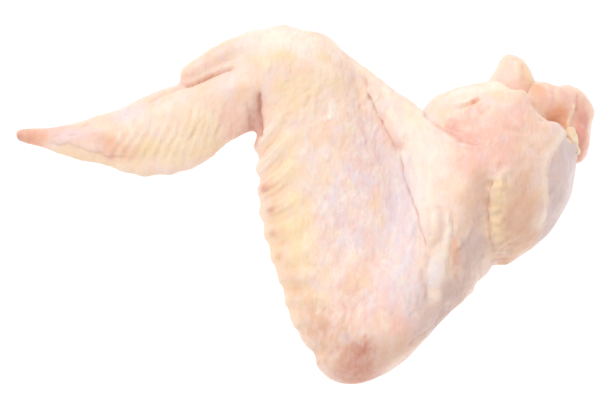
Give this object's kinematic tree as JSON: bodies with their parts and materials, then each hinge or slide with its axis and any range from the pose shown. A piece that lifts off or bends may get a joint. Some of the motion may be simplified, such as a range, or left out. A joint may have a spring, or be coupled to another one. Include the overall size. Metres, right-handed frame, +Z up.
{
  "type": "raw chicken wing",
  "caption": "Raw whole chicken wing lying flat: tip, alula, flat and drumette in one skin with a stretched web, cut open at the shoulder to show meat and a gristly bone head.",
  "frame": {"origin": "middle of the bottom of the whole wing's box, on the surface it rests on", "axes": "+X from the wing tip's point towards the shoulder cut, +Y from the elbow towards the wrist, +Z up out of the skin side that shows"},
  "size_m": [0.152, 0.0954, 0.0347],
  "materials": {
    "skin": "raw poultry skin, moist, cream to pink, soft satin with small wet glints",
    "meat": "raw muscle, wet, salmon pink with paler fat",
    "gristle": "gristle over bone, moist, creamy pink"
  },
  "bodies": {
    "root": {"wing_skin": "skin", "drumette_meat": "meat", "humerus_bone": "gristle"}
  },
  "joints": []
}
